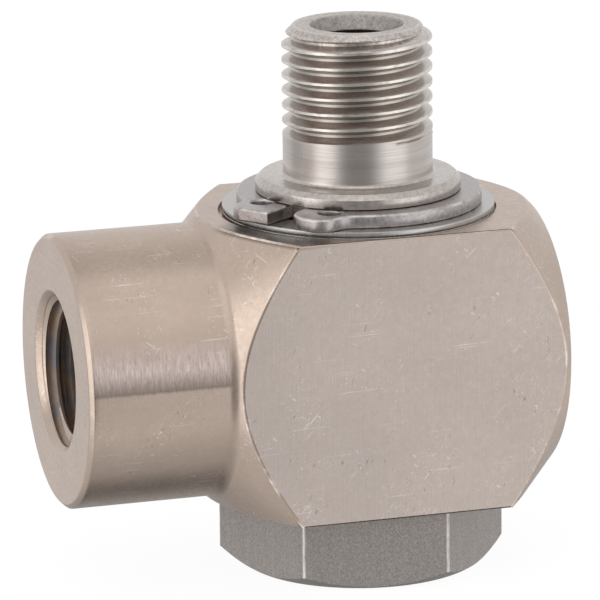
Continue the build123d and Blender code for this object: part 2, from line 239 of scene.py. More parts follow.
class Shader:
    """A material's node tree with short calls for the nodes that the finishes share."""

    def __init__(self, name):
        self.material = bpy.data.materials.new(name)
        self.material.use_nodes = True
        self.tree = self.material.node_tree
        self.tree.nodes.clear()
        self.output = self.tree.nodes.new("ShaderNodeOutputMaterial")
        self.surface = self.tree.nodes.new("ShaderNodeBsdfPrincipled")
        self.tree.links.new(self.surface.outputs[0], self.output.inputs["Surface"])
        self.place = self.tree.nodes.new("ShaderNodeTexCoord").outputs["Object"]

    def node(self, kind, inputs=None, **settings):
        """A new node with its settings, and its inputs linked or set."""
        made = self.tree.nodes.new(kind)
        for key, value in settings.items():
            setattr(made, key, value)
        for key, value in (inputs or {}).items():
            if isinstance(value, bpy.types.NodeSocket):
                self.tree.links.new(value, made.inputs[key])
            else:
                made.inputs[key].default_value = value
        return made

    def scaled(self, scale):
        """Object coordinates multiplied by a scale on each axis."""
        return self.node("ShaderNodeMapping", {"Vector": self.place, "Scale": scale}).outputs[0]

    def turned(self, scale, turn):
        """Object coordinates turned, then scaled on each axis."""
        spun = self.node("ShaderNodeMapping", {"Vector": self.place, "Rotation": turn}).outputs[0]
        return self.node("ShaderNodeMapping", {"Vector": spun, "Scale": scale}).outputs[0]

    def noise(self, vector, detail=3.0, roughness=0.55):
        """Fractal noise between about 0 and 1."""
        made = self.node(
            "ShaderNodeTexNoise",
            {"Vector": vector, "Scale": 1.0, "Detail": detail, "Roughness": roughness},
        )
        return made.outputs["Fac"]

    def span(self, value, low, high, to_low=0.0, to_high=1.0):
        """The value's range low to high spread over to_low to to_high, and held at its ends."""
        made = self.node(
            "ShaderNodeMapRange",
            {"Value": value, "From Min": low, "From Max": high, "To Min": to_low, "To Max": to_high},
        )
        return made.outputs[0]

    def maths(self, operation, first, second=0.5):
        """One sum on two values."""
        made = self.node("ShaderNodeMath", {0: first, 1: second}, operation=operation)
        return made.outputs[0]

    def product(self, first, *others):
        """Masks multiplied together."""
        for other in others:
            first = self.maths("MULTIPLY", first, other)
        return first

    def mix(self, factor, first, second):
        """Two colours mixed by a factor."""
        made = self.node("ShaderNodeMix", data_type="RGBA")
        sockets = {"Factor": made.inputs[0], "A": made.inputs[6], "B": made.inputs[7]}
        for key, value in (("Factor", factor), ("A", first), ("B", second)):
            if isinstance(value, bpy.types.NodeSocket):
                self.tree.links.new(value, sockets[key])
            else:
                sockets[key].default_value = value
        return made.outputs[2]

    def blend(self, value, low, high, tone, dark, light):
        """One tone that runs from a dark to a light gain as the value runs from low to high."""
        return self.mix(self.span(value, low, high), rgba(tone, dark), rgba(tone, light))

    def bump(self, height, distance, strength=1.0, under=None):
        """A bump whose full height stands for a distance in metres."""
        inputs = {"Height": height, "Distance": distance, "Strength": strength}
        if under is not None:
            inputs["Normal"] = under
        return self.node("ShaderNodeBump", inputs).outputs[0]

    def finish(self, base, roughness, normal=None, metallic=1.0):
        """Links the finish to the shader and returns the material."""
        for key, value in (("Base Color", base), ("Roughness", roughness), ("Normal", normal)):
            if isinstance(value, bpy.types.NodeSocket):
                self.tree.links.new(value, self.surface.inputs[key])
            elif value is not None:
                self.surface.inputs[key].default_value = value
        self.surface.inputs["Metallic"].default_value = metallic
        return self.material


def rgba(linear, gain=1.0):
    """A linear colour with its alpha, made lighter or darker."""
    return (*(min(1.0, channel * gain) for channel in linear), 1.0)


def scratches(shader, frequency, threshold, turn):
    """A mask of thin straight scratches that run one way, broken along their length."""
    line = shader.noise(shader.turned((frequency, frequency, frequency * 0.02), turn), 2.0, 0.5)
    breaks = shader.noise(shader.scaled((260, 260, 260)), 2.0)
    mask = shader.span(line, threshold, threshold + 0.025)
    return shader.product(mask, shader.span(breaks, 0.46, 0.6))


def chattered_band(shader, split, base):
    """The base with the band on the boss where the tool chattered, and the height of its rings.

    The band is cooler and coarser than the rest. It fades upwards, and darkens to a hard lower edge.
    """
    tones = bpy.context.scene.union_finish
    sizes = bpy.context.scene.union_housing_sizes
    foot = -sizes.shoulder_x
    ragged = shader.noise(shader.scaled((3000, 300, 300)), 2.0)
    height = shader.maths("ADD", split["Z"], shader.span(ragged, 0.3, 0.7, -0.04 * MM, 0.04 * MM))
    low = MID_HEIGHT + 0.018 * sizes.boss_d
    above = shader.span(height, low, low + 0.25 * MM)
    below = shader.span(height, low + 2.2 * MM, low + 4.6 * MM, 1.0, 0.0)
    front = shader.span(split["Y"], -9.0 * MM, -7.5 * MM, 1.0, 0.0)
    before_cone = shader.span(split["X"], foot - 0.6 * MM, foot - 0.1 * MM, 1.0, 0.0)
    past_rim = shader.span(split["X"], HOUSING_LOW.x + 0.3 * MM, HOUSING_LOW.x + 0.5 * MM)
    boss = shader.product(before_cone, past_rim)
    band = shader.product(above, below, front, boss)
    chatter = shader.noise(shader.scaled((6400, 1100, 900)), 4.0, 0.75)
    cool = shader.blend(chatter, 0.32, 0.66, tones.chatter, 0.72, 1.44)
    base = shader.mix(shader.product(band, 0.85), base, cool)
    fading = shader.span(height, low + 0.3 * MM, low + 1.9 * MM, 1.0, 0.0)
    line = shader.product(above, fading, front, boss)
    base = shader.mix(shader.product(line, 0.85), base, rgba(tones.nickel, 0.42))
    return base, shader.product(chatter, band)


def painted_corner_shade(shader, split, cloud, base):
    """The base with painted shade at the top corner where the recess runs wide."""
    tones = bpy.context.scene.union_finish
    sizes = bpy.context.scene.union_housing_sizes
    toward, beside = cos(sizes.relief_turn), sin(sizes.relief_turn)
    across = shader.maths(
        "ADD", shader.product(split["X"], toward), shader.product(split["Y"], beside)
    )
    side = shader.maths(
        "ADD", shader.product(split["X"], -beside), shader.product(split["Y"], toward)
    )
    side = shader.maths("ADD", side, shader.span(cloud, 0.3, 0.7, -0.8 * MM, 0.8 * MM))
    # the painted shade darkens the nickel between the recess's rim and the corner's edge, just below the top
    # face
    rim, top = sizes.recess_d / 2, HOUSING_HIGH.z
    film = shader.product(
        shader.span(across, rim - 1.8 * MM, rim - 0.4 * MM),
        shader.span(shader.maths("ABSOLUTE", side), 3.6 * MM, 6.2 * MM, 1.0, 0.0),
        shader.span(split["Z"], top - 0.4 * MM, top - 0.1 * MM),
    )
    return shader.mix(shader.product(film, 0.86), base, rgba(tones.nickel, 0.16))


def nickel_plate():
    """Satin nickel over machined bar: cloudy tone, cooler flats, fine scratches, turning rings and painted
    shade at one top corner.
    """
    tones = bpy.context.scene.union_finish
    shader = Shader("satin_nickel")
    split = shader.node("ShaderNodeSeparateXYZ", {"Vector": shader.place}).outputs
    cloud = shader.noise(shader.scaled((90, 90, 90)), 4.0)
    grain = shader.noise(shader.scaled((2600, 2600, 2600)), 2.0)
    rings = shader.noise(shader.scaled((5200, 160, 160)), 3.0, 0.6)
    base = shader.blend(cloud, 0.32, 0.68, tones.nickel, 0.92, 1.07)
    # the drawn flats at the front and back are cooler than the turned faces
    reach = shader.maths("ABSOLUTE", split["Y"])
    drawn = shader.span(reach, HALF_BAR - 0.2 * MM, HALF_BAR - 0.05 * MM)
    base = shader.mix(drawn, base, shader.blend(cloud, 0.3, 0.7, tones.flat_nickel, 0.95, 1.05))
    peel = shader.noise(shader.scaled((1500, 1500, 1500)), 4.0, 0.7)
    base = shader.mix(shader.span(peel, 0.30, 0.70, 0.0, 0.22), base, rgba(tones.nickel, 0.72))
    brush = shader.noise(shader.turned((420, 1500, 3400), (0.0, 0.35, 0.0)), 3.0, 0.6)
    base = shader.mix(shader.span(brush, 0.30, 0.70, 0.0, 0.07), base, rgba(tones.nickel, 1.3))
    # bright scratches that run four ways, and dark nicks
    marks = None
    for turn in ((0.5, 0.9, 0.2), (1.2, 0.35, 1.0), (0.15, 1.6, 0.6), (0.1, -0.7, 0.3)):
        mark = scratches(shader, 5200, 0.672, turn)
        marks = mark if marks is None else shader.maths("MAXIMUM", marks, mark)
    nicks = scratches(shader, 4200, 0.69, (0.3, -0.25, 0.5))
    base = shader.mix(shader.product(marks, 0.4), base, rgba(tones.worn_nickel))
    base = shader.mix(shader.product(nicks, 0.6), base, rgba(tones.nickel, 0.45))
    base, chatter = chattered_band(shader, split, base)
    # painted shade at the top corner where the recess runs wide
    base = painted_corner_shade(shader, split, cloud, base)
    roughness = shader.span(grain, 0.3, 0.7, 0.25, 0.36)
    lowest = shader.bump(rings, 0.000012, 0.35)
    coarse = shader.bump(chatter, 0.00003, 0.6, lowest)
    middle = shader.bump(grain, 0.000006, 0.5, coarse)
    brushed = shader.bump(brush, 0.000008, 0.4, middle)
    top = shader.bump(marks, -0.000006, 0.5, brushed)
    return shader.finish(base, roughness, top)


def rubbed_edge():
    """Bright rubbed edge where the plate has been knocked."""
    tones = bpy.context.scene.union_finish
    shader = Shader("rubbed_edge")
    worn = shader.noise(shader.scaled((420, 420, 420)), 4.0, 0.7)
    patches = shader.noise(shader.scaled((120, 120, 120)), 2.0)
    share = shader.product(shader.span(worn, 0.44, 0.6), shader.span(patches, 0.48, 0.68))
    base = shader.mix(share, rgba(tones.nickel, 0.96), rgba(tones.worn_nickel))
    dents = shader.bump(worn, 0.00006, 0.8)
    return shader.finish(base, shader.span(worn, 0.35, 0.65, 0.34, 0.2), dents)


def turned_steel():
    """Bright turned steel with fine rings round the spindle's axis, and a rougher land."""
    tones = bpy.context.scene.union_finish
    sizes = bpy.context.scene.union_spindle_sizes
    shader = Shader("turned_steel")
    split = shader.node("ShaderNodeSeparateXYZ", {"Vector": shader.place}).outputs
    rings = shader.noise(shader.scaled((130, 130, 9000)), 3.0, 0.6)
    wide = shader.noise(shader.scaled((60, 60, 1400)), 2.0)
    base = shader.blend(wide, 0.3, 0.7, tones.turned_steel, 0.9, 1.08)
    base = shader.mix(shader.span(rings, 0.4, 0.6, 0.0, 0.3), base, rgba(tones.turned_steel, 0.7))
    land_top = SPINDLE_HIGH.z - sizes.shank_length
    on_land = shader.span(split["Z"], land_top + 0.1 * MM, land_top + 0.3 * MM, 1.0, 0.0)
    rough = shader.noise(shader.scaled((2400, 2400, 2400)), 4.0, 0.75)
    patchy = shader.blend(rough, 0.34, 0.64, tones.turned_steel, 0.68, 1.2)
    base = shader.mix(shader.product(on_land, 0.6), base, patchy)
    roughness = shader.span(rings, 0.3, 0.7, 0.17, 0.3)
    lines = shader.bump(rings, 0.000012, 0.6)
    return shader.finish(base, roughness, shader.bump(rough, 0.00002, shader.product(on_land, 0.4), lines))


def thread_steel():
    """Turned steel with painted shade in the thread's roots, a painted highlight on the crests, and a rough
    end round a cone seat darkened as painted shade.
    """
    tones = bpy.context.scene.union_finish
    sizes = bpy.context.scene.union_spindle_sizes
    shader = Shader("thread_steel")
    split = shader.node("ShaderNodeSeparateXYZ", {"Vector": shader.place}).outputs
    flat = shader.node("ShaderNodeCombineXYZ", {"X": split["X"], "Y": split["Y"]}).outputs[0]
    radius = shader.node("ShaderNodeVectorMath", {0: flat}, operation="LENGTH").outputs["Value"]
    crest, pitch = sizes.thread_d / 2, sizes.pitch
    depth = THREAD_DEPTH_SHARE * pitch
    foot = SPINDLE_HIGH.z - sizes.thread_length
    uneven = shader.noise(shader.scaled((900, 900, 2600)), 3.0)
    level = shader.maths("ADD", radius, shader.span(uneven, 0.3, 0.7, -0.12 * MM, 0.12 * MM))
    rings = shader.noise(shader.scaled((130, 130, 9000)), 3.0, 0.6)
    base = shader.blend(rings, 0.3, 0.7, tones.turned_steel, 0.88, 1.1)
    # painted shade, brown, in the thread's roots
    root = shader.span(level, crest - depth, crest - 0.5 * depth, 0.55, 0.0)
    in_thread = shader.span(level, crest - 1.25 * depth, crest - 1.1 * depth)
    base = shader.mix(shader.product(root, in_thread), base, rgba(tones.root_shade))
    # a painted highlight on the crests, which fades out where the thread runs into the shank
    edge = shader.span(level, crest - 0.14 * depth, crest - 0.02 * depth, 0.0, 0.5)
    above_shank = shader.span(split["Z"], foot + 0.5 * pitch, foot + 1.2 * pitch)
    base = shader.mix(shader.product(edge, above_shank), base, rgba(tones.crest))
    # the end is rough: a light face and chamfer round a cone seat darkened as painted shade
    rough = shader.noise(shader.scaled((2600, 2600, 2600)), 4.0, 0.75)
    end = shader.span(split["Z"], SPINDLE_HIGH.z - 1.1 * MM, SPINDLE_HIGH.z - 0.8 * MM)
    mouth = sizes.cone_mouth_d / 2
    seat = shader.span(radius, mouth - 0.1 * MM, mouth + 0.1 * MM, 1.0, 0.0)
    face = shader.blend(rough, 0.32, 0.66, tones.turned_steel, 0.55, 1.6)
    base = shader.mix(shader.product(end, shader.span(seat, 0, 1, 0.55, 0.0)), base, face)
    cone = shader.blend(rough, 0.32, 0.66, tones.turned_steel, 0.3, 0.85)
    base = shader.mix(shader.product(seat, 0.8), base, cone)
    roughness = shader.span(level, crest - 1.6 * depth, crest - 1.35 * depth, 0.48, 0.24)
    pitted = shader.span(shader.maths("MAXIMUM", end, seat), 0, 1, 0.04, 0.55)
    lines = shader.bump(rings, 0.000012, 0.6)
    return shader.finish(base, roughness, shader.bump(rough, 0.00003, pitted, lines))


def oiled_port():
    """Dark oiled bore and thread with blue and brown temper tints."""
    tones = bpy.context.scene.union_finish
    shader = Shader("oiled_port")
    film = shader.noise(shader.scaled((420, 420, 420)), 4.0, 0.6)
    tint = shader.mix(shader.span(film, 0.40, 0.60), rgba(tones.temper_brown), rgba(tones.temper_blue))
    base = shader.mix(0.55, rgba(tones.port), tint)
    rings = shader.noise(shader.scaled((5200, 200, 200)), 3.0)
    gloss = shader.span(rings, 0.3, 0.7, 0.26, 0.42)
    return shader.finish(base, gloss, shader.bump(rings, 0.00001, 0.5), 0.5)


def painted_bore_shade():
    """The spindle's drilling in near-black painted shade, with lighter patches."""
    tones = bpy.context.scene.union_finish
    shader = Shader("painted_bore_shade")
    film = shader.noise(shader.scaled((900, 900, 900)), 4.0, 0.6)
    base = shader.mix(shader.span(film, 0.35, 0.65), rgba(tones.bore_shade_dark), rgba(tones.bore_shade_light))
    return shader.finish(base, 0.45, shader.bump(film, 0.00001, 0.4))


def drawn_steel():
    """Rough drawn bar with pits and streaks along the hexagon's sides."""
    tones = bpy.context.scene.union_finish
    shader = Shader("drawn_steel")
    pits = shader.noise(shader.scaled((6400, 6400, 5200)), 4.0, 0.75)
    streaks = shader.noise(shader.scaled((2200, 2200, 160)), 3.0)
    base = shader.blend(pits, 0.3, 0.7, tones.drawn_steel, 0.72, 1.36)
    roughness = shader.span(streaks, 0.3, 0.7, 0.52, 0.66)
    return shader.finish(base, roughness, shader.bump(pits, 0.00004, 0.7))


def rubbed_steel():
    """Corners of the drawn bar, rubbed bright."""
    tones = bpy.context.scene.union_finish
    shader = Shader("rubbed_steel")
    worn = shader.noise(shader.scaled((900, 900, 500)), 4.0, 0.7)
    base = shader.blend(worn, 0.36, 0.6, tones.drawn_steel, 1.1, 1.8)
    return shader.finish(base, 0.4, shader.bump(worn, 0.00003, 0.5))


def stamped_steel():
    """Slightly rough spring steel with tumbled edges."""
    tones = bpy.context.scene.union_finish
    shader = Shader("spring_steel")
    speckle = shader.noise(shader.scaled((2600, 2600, 2600)), 4.0, 0.72)
    base = shader.blend(speckle, 0.3, 0.7, tones.spring_steel, 0.74, 1.32)
    roughness = shader.span(speckle, 0.3, 0.7, 0.26, 0.4)
    return shader.finish(base, roughness, shader.bump(speckle, 0.00002, 0.4))


def strip_steel():
    """Smooth rolled strip with a faint grain across it."""
    tones = bpy.context.scene.union_finish
    shader = Shader("strip_steel")
    grain = shader.noise(shader.turned((3200, 240, 900), (0, 0, 0.6)), 3.0)
    base = shader.blend(grain, 0.3, 0.7, tones.strip_steel, 0.92, 1.06)
    roughness = shader.span(grain, 0.3, 0.7, 0.24, 0.36)
    return shader.finish(base, roughness, shader.bump(grain, 0.000005, 0.4))


def moulded(name, linear, roughness, pores):
    """A moulded or filled plastic or rubber with fine pores."""
    shader = Shader(name)
    speckle = shader.noise(shader.scaled((pores, pores, pores)), 3.0, 0.6)
    base = shader.blend(speckle, 0.3, 0.7, linear, 0.85, 1.15)
    gloss = shader.span(speckle, 0.3, 0.7, roughness - 0.05, roughness + 0.08)
    return shader.finish(base, gloss, shader.bump(speckle, 0.00001, 0.3), 0.0)


def shared(name, build):
    """The named material, built the first time it is asked for."""
    return bpy.data.materials.get(name) or build()


# ---------------------------------------------------------------- mesh helpers


def eased(points, radius, steps=3):
    """The points with each inner corner rounded off by an arc-like curve of about the radius."""
    softened = [points[0]]
    for before, corner, after in zip(points, points[1:-1], points[2:]):
        middle = Vector(corner)
        back, forth = Vector(before) - middle, Vector(after) - middle
        reach = min(radius, back.length * 0.45, forth.length * 0.45)
        start, end = middle + back.normalized() * reach, middle + forth.normalized() * reach
        for step in range(steps + 1):
            share = step / steps
            blend = start.lerp(middle, share).lerp(middle.lerp(end, share), share)
            softened.append(tuple(blend))
    softened.append(points[-1])
    return softened


def spun(bm, outline, along, steps=ROUND_STEPS, closed=False):
    """Spins an outline of (place on the axis, radius) points about the X or the Z axis."""
    if along == "X":
        corners = [(place, 0, MID_HEIGHT + radius) for place, radius in outline]
        axis, centre = (1, 0, 0), (0, 0, MID_HEIGHT)
    else:
        corners = [(radius, 0, place) for place, radius in outline]
        axis, centre = (0, 0, 1), (0, 0, 0)
    verts = [bm.verts.new(corner) for corner in corners]
    edges = [bm.edges.new(pair) for pair in zip(verts, verts[1:])]
    if closed:
        edges.append(bm.edges.new((verts[-1], verts[0])))
    bmesh.ops.spin(
        bm, geom=verts + edges, cent=centre, axis=axis, angle=2 * pi, steps=steps, use_merge=True
    )
    bmesh.ops.remove_doubles(bm, verts=bm.verts, dist=1e-7)
    bmesh.ops.recalc_face_normals(bm, faces=bm.faces)


def loose_object(name, bm):
    """A plain object that holds the bmesh, which is freed."""
    mesh = bpy.data.meshes.new(name)
    bm.to_mesh(mesh)
    bm.free()
    made = bpy.data.objects.new(name, mesh)
    bpy.context.scene.collection.objects.link(made)
    return made


def carve(target, cutter, operation="DIFFERENCE"):
    """Applies one solid to another, and removes the tool solid."""
    modifier = target.modifiers.new("carve", "BOOLEAN")
    modifier.operation = operation
    modifier.solver = "MANIFOLD"
    modifier.object = cutter
    graph = bpy.context.evaluated_depsgraph_get()
    carved = bpy.data.meshes.new_from_object(target.evaluated_get(graph))
    target.modifiers.clear()
    spent = target.data
    target.data = carved
    carved.name = target.name
    bpy.data.meshes.remove(spent)
    bpy.data.objects.remove(cutter)
    if not carved.polygons:
        raise RuntimeError(f"carving emptied {target.name}")


def dress(piece, node, materials, sharp=32.0):
    """Gives a piece its materials, shading and body, and hides the packed part that it stands for."""
    mesh = piece.data
    for material in materials[len(mesh.materials) :]:
        mesh.materials.append(material)
    for index, material in enumerate(materials):
        mesh.materials[index] = material
    mesh.shade_smooth()
    mesh.set_sharp_from_angle(angle=radians(sharp))
    weighted = piece.modifiers.new("weighted normals", "WEIGHTED_NORMAL")
    weighted.keep_sharp = True
    weighted.weight = 100
    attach(piece, "housing" if node in HOUSING_NODES else "spindle")
    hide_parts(node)


def helix_skin(bm, crest, root, pitch, start, turns):
    """The skin of a right-handed thread about the Z axis, one pitch of profile carried round."""
    verts = []
    # share of half a pitch that is flat at the crest and at the root, and how much the flanks are rounded
    flat, rounded = 1 / 6, 0.4
    for step in range(THREAD_POINTS + 1):
        share = step / THREAD_POINTS
        from_crest = abs(2 * share - 1)
        slope = min(1.0, max(0.0, (1 - from_crest - flat) / (1 - 2 * flat)))
        slope = (1 - rounded) * slope + rounded * slope * slope * (3 - 2 * slope)
        radius = crest - (crest - root) * slope
        verts.append(bm.verts.new((radius, 0, start + share * pitch)))
    edges = [bm.edges.new(pair) for pair in zip(verts, verts[1:])]
    bmesh.ops.spin(
        bm,
        geom=verts + edges,
        cent=(0, 0, 0),
        axis=(0, 0, 1),
        dvec=(0, 0, pitch / THREAD_STEPS),
        angle=2 * pi * turns,
        steps=THREAD_STEPS * turns,
        use_merge=False,
    )
    bmesh.ops.remove_doubles(bm, verts=bm.verts, dist=4e-6)


def cut_flat(bm, place, normal):
    """Cuts away what lies beyond a plane, and closes the cut with one face."""
    cut = bmesh.ops.bisect_plane(
        bm,
        geom=bm.verts[:] + bm.edges[:] + bm.faces[:],
        plane_co=place,
        plane_no=normal,
        dist=1e-8,
        clear_outer=True,
    )
    rim = [part for part in cut["geom_cut"] if isinstance(part, bmesh.types.BMEdge)]
    bmesh.ops.edgeloop_fill(bm, edges=rim)


def cylinder(radius, depth, segments, matrix):
    """A bmesh that holds a cylinder, or a prism with few segments, put in place by the matrix."""
    bm = bmesh.new()
    bmesh.ops.create_cone(
        bm,
        cap_ends=True,
        segments=segments,
        radius1=radius,
        radius2=radius,
        depth=depth,
        matrix=matrix,
    )
    return bm


def thread_radius(outward):
    """The thread's larger radius (outward) or its smaller one."""
    spindle = bpy.context.scene.union_spindle_sizes
    depth = THREAD_DEPTH_SHARE * spindle.pitch
    return spindle.thread_d / 2 if outward else spindle.thread_d / 2 - depth


# ---------------------------------------------------------------- pieces


class UNION_OT_housing(bpy.types.Operator):
    """Housing: bar turned at both ends, with rubbed edges, bored and recessed."""

    bl_idname = "union.housing"
    bl_label = "Housing"

    def outline(self, sizes):
        """Outline of the turned blank along the port's axis, from the closed end to the passage."""
        port_x, end_x = HOUSING_LOW.x, HOUSING_HIGH.x
        boss, rim = sizes.boss_d / 2, sizes.end_rim_d / 2
        corner = HALF_BAR * sqrt(2) + OVERSHOOT
        root = thread_radius(outward=True)
        crest = thread_radius(outward=False)
        passage = sizes.passage_d / 2
        sink = sizes.mouth_d / 2 - root
        thread_end = port_x + sizes.port_thread
        drill_end = port_x + sizes.port_drill
        ends = eased(
            [
                (end_x, 0),
                (end_x, rim - EDGE_ROUND),
                (end_x - EDGE_ROUND, rim + 0.02 * MM),
                (end_x - (corner - rim), corner),
            ],
            0.2 * MM,
        )
        shoulder = eased(
            [
                (-sizes.shoulder_x + corner - boss, corner),
                (-sizes.shoulder_x, boss),
                (port_x + 1 * MM, boss),
            ],
            sizes.shoulder_fillet,
            6,
        )
        port = eased(
            [
                (port_x + sizes.rim_chamfer + 0.5 * MM, boss),
                (port_x + sizes.rim_chamfer, boss),
                (port_x, boss - sizes.rim_chamfer),
                (port_x, sizes.mouth_d / 2),
                (port_x + sink, root),
                (thread_end, root),
                (thread_end, crest),
                (drill_end, crest),
                (drill_end + (crest - passage) * DRILL_POINT, passage),
                (-sizes.bore_d / 4, passage),
                (-sizes.bore_d / 4, 0),
            ],
            STEP_ROUND,
        )
        return ends + shoulder + port

    def blank(self, sizes):
        """The turned bar with its four flats, whose edges are rubbed."""
        bm = bmesh.new()
        spun(bm, self.outline(sizes), "X", 288)
        for normal in ((0, 1, 0), (0, -1, 0), UP, DOWN):
            cut_flat(bm, Vector((0, 0, MID_HEIGHT)) + Vector(normal) * HALF_BAR, normal)
        bmesh.ops.recalc_face_normals(bm, faces=bm.faces)
        flats = {face for face in bm.faces if face.calc_area() > (HALF_BAR * 1.2) ** 2}
        sharp = [
            edge
            for edge in bm.edges
            if len(edge.link_faces) == 2
            and flats.intersection(edge.link_faces)
            and edge.calc_face_angle() > 0.3
        ]
        bmesh.ops.bevel(
            bm,
            geom=sharp,
            offset=sizes.edge_wear,
            segments=3,
            profile=0.5,
            affect="EDGES",
            material=1,
            clamp_overlap=False,
        )
        return loose_object("housing_body", bm)

    def bore(self, sizes):
        """The tool for the bore and its recess, which runs wide of the wear ring on one side."""
        bore, recess = sizes.bore_d / 2, sizes.recess_d / 2
        recess_floor = HOUSING_HIGH.z - sizes.recess_depth
        bm = bmesh.new()
        spun(
            bm,
            [
                (HOUSING_LOW.z - OVERSHOOT, 0),
                (HOUSING_LOW.z - OVERSHOOT, bore + sizes.bore_chamfer + OVERSHOOT),
                (HOUSING_LOW.z + sizes.bore_chamfer, bore),
                (recess_floor, bore),
                (recess_floor, recess),
                (HOUSING_HIGH.z + OVERSHOOT, recess),
                (HOUSING_HIGH.z + OVERSHOOT, 0),
            ],
            "Z",
        )
        tool = loose_object("bore_tool", bm)
        shift = Matrix.Rotation(sizes.relief_turn, 4, "Z") @ Matrix.Translation((sizes.relief_shift, 0, 0))
        place = shift @ Matrix.Translation((0, 0, HOUSING_HIGH.z))
        relief = cylinder(recess, 2 * sizes.recess_depth, ROUND_STEPS, place)
        carve(tool, loose_object("relief_tool", relief), "UNION")
        return tool

    def sort_faces(self, mesh, sizes):
        """Gives the port's rim the rubbed finish, and the inside of the port the oiled one."""
        root = thread_radius(outward=True)
        mouth = HOUSING_LOW.x + sizes.mouth_d / 2 - root
        for face in mesh.polygons:
            across = hypot(face.center.y, face.center.z - MID_HEIGHT)
            along = face.center.x - HOUSING_LOW.x
            at_rim = across > sizes.boss_d / 2 - sizes.rim_chamfer + 0.02 * MM
            if at_rim and 0.02 * MM < along < sizes.rim_chamfer - 0.01 * MM:
                face.material_index = 1
            if across < root + 0.01 * MM and mouth < face.center.x < -sizes.bore_d / 2:
                face.material_index = 2

    def execute(self, context):
        sizes = context.scene.union_housing_sizes
        piece = self.blank(sizes)
        carve(piece, self.bore(sizes))
        self.sort_faces(piece.data, sizes)
        finishes = [
            shared("satin_nickel", nickel_plate),
            shared("rubbed_edge", rubbed_edge),
            shared("oiled_port", oiled_port),
        ]
        dress(piece, "housing", finishes)
        return {"FINISHED"}


class UNION_OT_port_thread(bpy.types.Operator):
    """Port thread: the female thread cut in the side port."""

    bl_idname = "union.port_thread"
    bl_label = "Port thread"

    def execute(self, context):
        sizes = context.scene.union_housing_sizes
        pitch = context.scene.union_spindle_sizes.pitch
        root, crest = thread_radius(outward=True), thread_radius(outward=False)
        sink = sizes.mouth_d / 2 - root
        long = sizes.port_thread
        wall = root + 0.03 * MM
        bm = bmesh.new()
        spun(
            bm,
            [
                (sink + 0.02 * MM, wall),
                (sink + root - crest, crest),
                (long, crest),
                (long, wall),
            ],
            "Z",
            closed=True,
        )
        piece = loose_object("port_thread", bm)
        plug = bmesh.new()
        turns = int(long / pitch) + 3
        helix_skin(plug, root + 0.012 * MM, crest - 0.02 * MM, pitch, -1.5 * pitch, turns)
        cut_flat(plug, (0, 0, -0.5 * pitch), DOWN)
        cut_flat(plug, (0, 0, long + 0.3 * pitch), UP)
        bmesh.ops.recalc_face_normals(plug, faces=plug.faces)
        carve(piece, loose_object("tap_tool", plug))
        turn = Matrix.Translation((HOUSING_LOW.x, 0, MID_HEIGHT)) @ Matrix.Rotation(pi / 2, 4, "Y")
        piece.data.transform(turn)
        # only the lead-in cone at the mouth is plated
        spots = [vert.co for vert in piece.data.vertices]
        on_cone = [
            abs(spot.x - HOUSING_LOW.x + hypot(spot.y, spot.z - MID_HEIGHT) - sink - root) < 0.06 * MM
            for spot in spots
        ]
        for face in piece.data.polygons:
            if all(on_cone[index] for index in face.vertices):
                face.material_index = 1
        dress(piece, "housing", [shared("oiled_port", oiled_port), shared("satin_nickel", nickel_plate)])
        return {"FINISHED"}


class UNION_OT_stud(bpy.types.Operator):
    """Stud: the threaded end of the spindle with its cone seat."""

    bl_idname = "union.stud"
    bl_label = "Stud"

    def execute(self, context):
        sizes = context.scene.union_spindle_sizes
        top = SPINDLE_HIGH.z
        foot = top - sizes.thread_length
        crest = sizes.thread_d / 2
        root = thread_radius(outward=False)
        pitch = sizes.pitch
        # the groove fades out just above the foot, over a short length
        fade_top, fade_length = foot + 0.4 * pitch, 0.3 * pitch
        bm = bmesh.new()
        helix_skin(bm, crest, root, pitch, foot - 1.5 * pitch, int(sizes.thread_length / pitch) + 3)
        for vert in bm.verts:
            radius = hypot(vert.co.x, vert.co.y)
            turn = atan2(vert.co.y, vert.co.x)
            run_out = min(1.0, max(0.0, (fade_top - vert.co.z) / fade_length))
            wanted = max(radius, root + (crest - root) * run_out)
            wanted = min(wanted, crest - sizes.stud_chamfer + max(0.0, top - vert.co.z))
            vert.co.x, vert.co.y = wanted * cos(turn), wanted * sin(turn)
        cut_flat(bm, (0, 0, foot), DOWN)
        cut_flat(bm, (0, 0, top), UP)
        bmesh.ops.recalc_face_normals(bm, faces=bm.faces)
        piece = loose_object("stud", bm)
        bore = sizes.seat_bore_d / 2
        mouth = sizes.cone_mouth_d / 2
        cone = (mouth - bore) / tan(sizes.cone_angle / 2)
        tool = bmesh.new()
        spun(
            tool,
            [(foot - OVERSHOOT, 0)]
            + eased(
                [
                    (foot - OVERSHOOT, bore),
                    (top - cone, bore),
                    (top, mouth),
                    (top + OVERSHOOT, mouth + 1.4 * OVERSHOOT),
                ],
                EDGE_ROUND,
            )
            + [(top + OVERSHOOT, 0)],
            "Z",
            THREAD_STEPS,
        )
        carve(piece, loose_object("seat_tool", tool))
        # the drilling's wall below the seat takes the painted shade
        for face in piece.data.polygons:
            if hypot(face.center.x, face.center.y) < bore + 0.01 * MM and face.center.z < top - MM:
                face.material_index = 1
        dress(piece, "spindle", [shared("thread_steel", thread_steel), shared("painted_bore_shade", painted_bore_shade)], 40)
        return {"FINISHED"}


